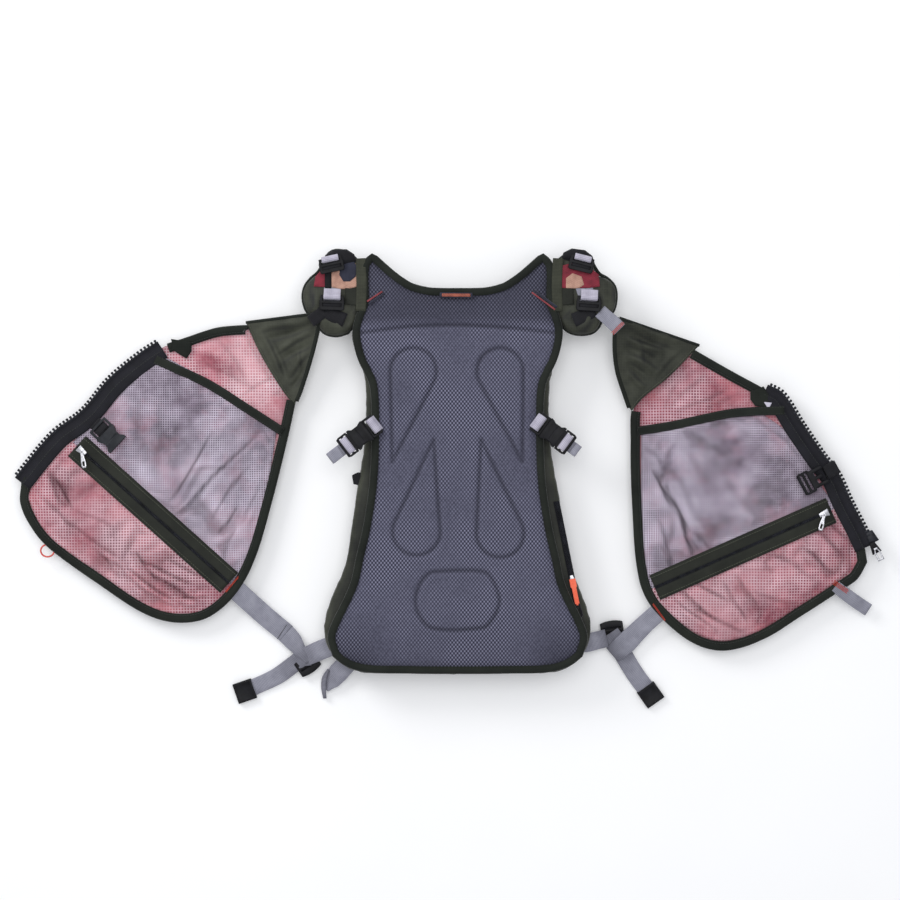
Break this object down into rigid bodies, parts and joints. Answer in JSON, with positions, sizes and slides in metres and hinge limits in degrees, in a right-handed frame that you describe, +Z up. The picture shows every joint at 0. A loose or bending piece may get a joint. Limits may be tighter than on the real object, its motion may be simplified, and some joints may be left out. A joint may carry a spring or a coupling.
{
  "type": "fishing vest",
  "caption": "Mesh-lined fishing vest joined to a small backpack, laid open with its body side up: padded mesh back, two zipped front panels, webbing and buckles.",
  "frame": {"origin": "on the surface that the vest lies on, under the back's centre line at waist height", "axes": "+X across the vest towards the right front panel as seen from above, +Y from the hem to the collar, +Z up from the surface, the body side of the vest facing up"},
  "size_m": [1.0611, 0.5623, 0.0585],
  "materials": {
    "spacer_mesh": "3-D spacer mesh, matt",
    "foam": "moulded foam",
    "olive_fabric": "coated ripstop, slight sheen",
    "binding": "ribbed binding tape",
    "pink_mesh": "red fabric seen through pale mesh",
    "grey_mesh": "pale mesh",
    "webbing": "ribbed webbing",
    "black_plastic": "moulded, satin",
    "zip_tape": "woven zip tape with moulded teeth",
    "silver_metal": "plated zinc",
    "orange_trim": "orange moulded pull"
  },
  "bodies": {
    "backpack": {"back_mesh_face": "spacer_mesh", "back_foam_core": "foam", "back_binding": "binding", "pack_body": "olive_fabric", "pack_outer_pocket": "olive_fabric", "pack_side_zip": "zip_tape", "waist_strap_stub": "webbing", "shoulder_pad_left": "olive_fabric", "shoulder_pad_right": "olive_fabric", "shoulder_webbing_left": "webbing", "shoulder_webbing_right": "webbing", "compression_loop_left": "webbing", "compression_loop_right": "webbing", "compression_socket_left": "black_plastic", "compression_socket_right": "black_plastic", "lower_strap_left": "webbing", "lower_strap_right": "webbing", "lower_glide_left": "black_plastic", "lower_glide_right": "black_plastic", "strap_tail_left": "webbing", "strap_tail_right": "webbing", "tail_cap_left": "black_plastic", "tail_cap_right": "black_plastic"},
    "front_left": {"front_panel_left": "pink_mesh", "front_gusset_left": "olive_fabric", "mesh_pocket_left": "grey_mesh", "zip_band_left": "olive_fabric", "outer_pocket_left": "olive_fabric", "center_zip_left": "zip_tape", "lower_webbing_left": "webbing", "chest_webbing_left": "zip_tape", "ring_loop": "orange_trim"},
    "pocket_slider_left": {"pocket_slider_left": "silver_metal"},
    "pocket_pull_left": {"pocket_pull_left": "silver_metal"},
    "buckle_prong_left": {"compression_prong_left": "black_plastic", "compression_tail_left": "webbing"},
    "upper_lock_left": {"upper_lock_left": "black_plastic"},
    "shoulder_lock_left": {"shoulder_lock_left": "black_plastic"},
    "front_right": {"front_panel_right": "pink_mesh", "front_gusset_right": "olive_fabric", "mesh_pocket_right": "grey_mesh", "zip_band_right": "olive_fabric", "outer_pocket_right": "olive_fabric", "center_zip_right": "zip_tape", "lower_webbing_right": "webbing", "chest_webbing_right": "zip_tape", "hem_tail_right": "webbing", "shoulder_link_right": "webbing"},
    "pocket_slider_right": {"pocket_slider_right": "silver_metal"},
    "pocket_pull_right": {"pocket_pull_right": "silver_metal"},
    "buckle_prong_right": {"compression_prong_right": "black_plastic", "compression_tail_right": "webbing"},
    "upper_lock_right": {"upper_lock_right": "black_plastic"},
    "shoulder_lock_right": {"shoulder_lock_right": "black_plastic"},
    "chest_socket": {"chest_socket": "black_plastic"},
    "chest_prong": {"chest_prong": "black_plastic"},
    "pack_slider": {"pack_slider": "silver_metal"},
    "pack_pull": {"pack_pull": "orange_trim"},
    "main_slider": {"main_slider": "black_plastic"},
    "main_pull": {"main_pull": "silver_metal"}
  },
  "joints": [
    {"name": "front_fold_left", "type": "hinge", "parent": "backpack", "child": "front_left", "pos_m": [-0.182, -0.223, 0.007], "axis": [0.0416, 0.995, 0.0902], "range_deg": [0, 115]},
    {"name": "pocket_zip_left", "type": "slide", "parent": "front_left", "child": "pocket_slider_left", "axis": [0.7441, -0.6681, 0], "range_m": [0, 0.215]},
    {"name": "pocket_pull_flip_left", "type": "hinge", "parent": "pocket_slider_left", "child": "pocket_pull_left", "pos_m": [-0.4583, 0.03899, 0.0274], "axis": [-0.9848, -0.1736, 0], "range_deg": [0, 150]},
    {"name": "buckle_release_left", "type": "slide", "parent": "backpack", "child": "buckle_prong_left", "axis": [-0.7934, -0.6088, 0], "range_m": [0, 0.03]},
    {"name": "upper_lock_tilt_left", "type": "hinge", "parent": "backpack", "child": "upper_lock_left", "pos_m": [-0.151, 0.257, 0.0513], "axis": [0.9781, 0.2079, 0], "range_deg": [0, 40]},
    {"name": "shoulder_lock_tilt_left", "type": "hinge", "parent": "backpack", "child": "shoulder_lock_left", "pos_m": [-0.152, 0.211, 0.0513], "axis": [0.9994, -0.0349, 0], "range_deg": [0, 40]},
    {"name": "front_fold_right", "type": "hinge", "parent": "backpack", "child": "front_right", "pos_m": [0.19, -0.189, 0.007], "axis": [0.0477, -0.9941, -0.0979], "range_deg": [0, 115]},
    {"name": "pocket_zip_right", "type": "slide", "parent": "front_right", "child": "pocket_slider_right", "axis": [-0.9158, -0.4016, 0], "range_m": [0, 0.205]},
    {"name": "pocket_pull_flip_right", "type": "hinge", "parent": "pocket_slider_right", "child": "pocket_pull_right", "pos_m": [0.44706, -0.03764, 0.0274], "axis": [-0.9703, 0.2419, 0], "range_deg": [0, 150]},
    {"name": "buckle_release_right", "type": "slide", "parent": "backpack", "child": "buckle_prong_right", "axis": [0.8039, -0.5948, 0], "range_m": [0, 0.03]},
    {"name": "upper_lock_tilt_right", "type": "hinge", "parent": "backpack", "child": "upper_lock_right", "pos_m": [0.148, 0.258, 0.0513], "axis": [0.9703, -0.2419, 0], "range_deg": [0, 40]},
    {"name": "shoulder_lock_tilt_right", "type": "hinge", "parent": "backpack", "child": "shoulder_lock_right", "pos_m": [0.158, 0.21, 0.0513], "axis": [0.9976, -0.0698, 0], "range_deg": [0, 40]},
    {"name": "chest_socket_flip", "type": "hinge", "parent": "front_left", "child": "chest_socket", "pos_m": [-0.43, 0.06159, 0.0232], "axis": [-0.682, -0.7314, 0], "range_deg": [0, 90]},
    {"name": "chest_prong_flip", "type": "hinge", "parent": "front_right", "child": "chest_prong", "pos_m": [0.44824, 0.01185, 0.0232], "axis": [-0.4695, 0.8829, 0], "range_deg": [0, 90]},
    {"name": "pack_zip", "type": "slide", "parent": "backpack", "child": "pack_slider", "axis": [-0.1976, 0.9803, 0], "range_m": [0, 0.085]},
    {"name": "pack_pull_flip", "type": "hinge", "parent": "pack_slider", "child": "pack_pull", "pos_m": [0.13907, -0.11659, 0.0424], "axis": [-0.9803, -0.1976, 0], "range_deg": [0, 120]},
    {"name": "main_zip", "type": "slide", "parent": "front_right", "child": "main_slider", "axis": [-0.46, 0.8879, 0], "range_m": [0, 0.07]},
    {"name": "main_pull_flip", "type": "hinge", "parent": "main_slider", "child": "main_pull", "pos_m": [0.509, -0.079, 0.0266], "axis": [-0.8879, -0.46, 0], "range_deg": [0, 120]}
  ]
}
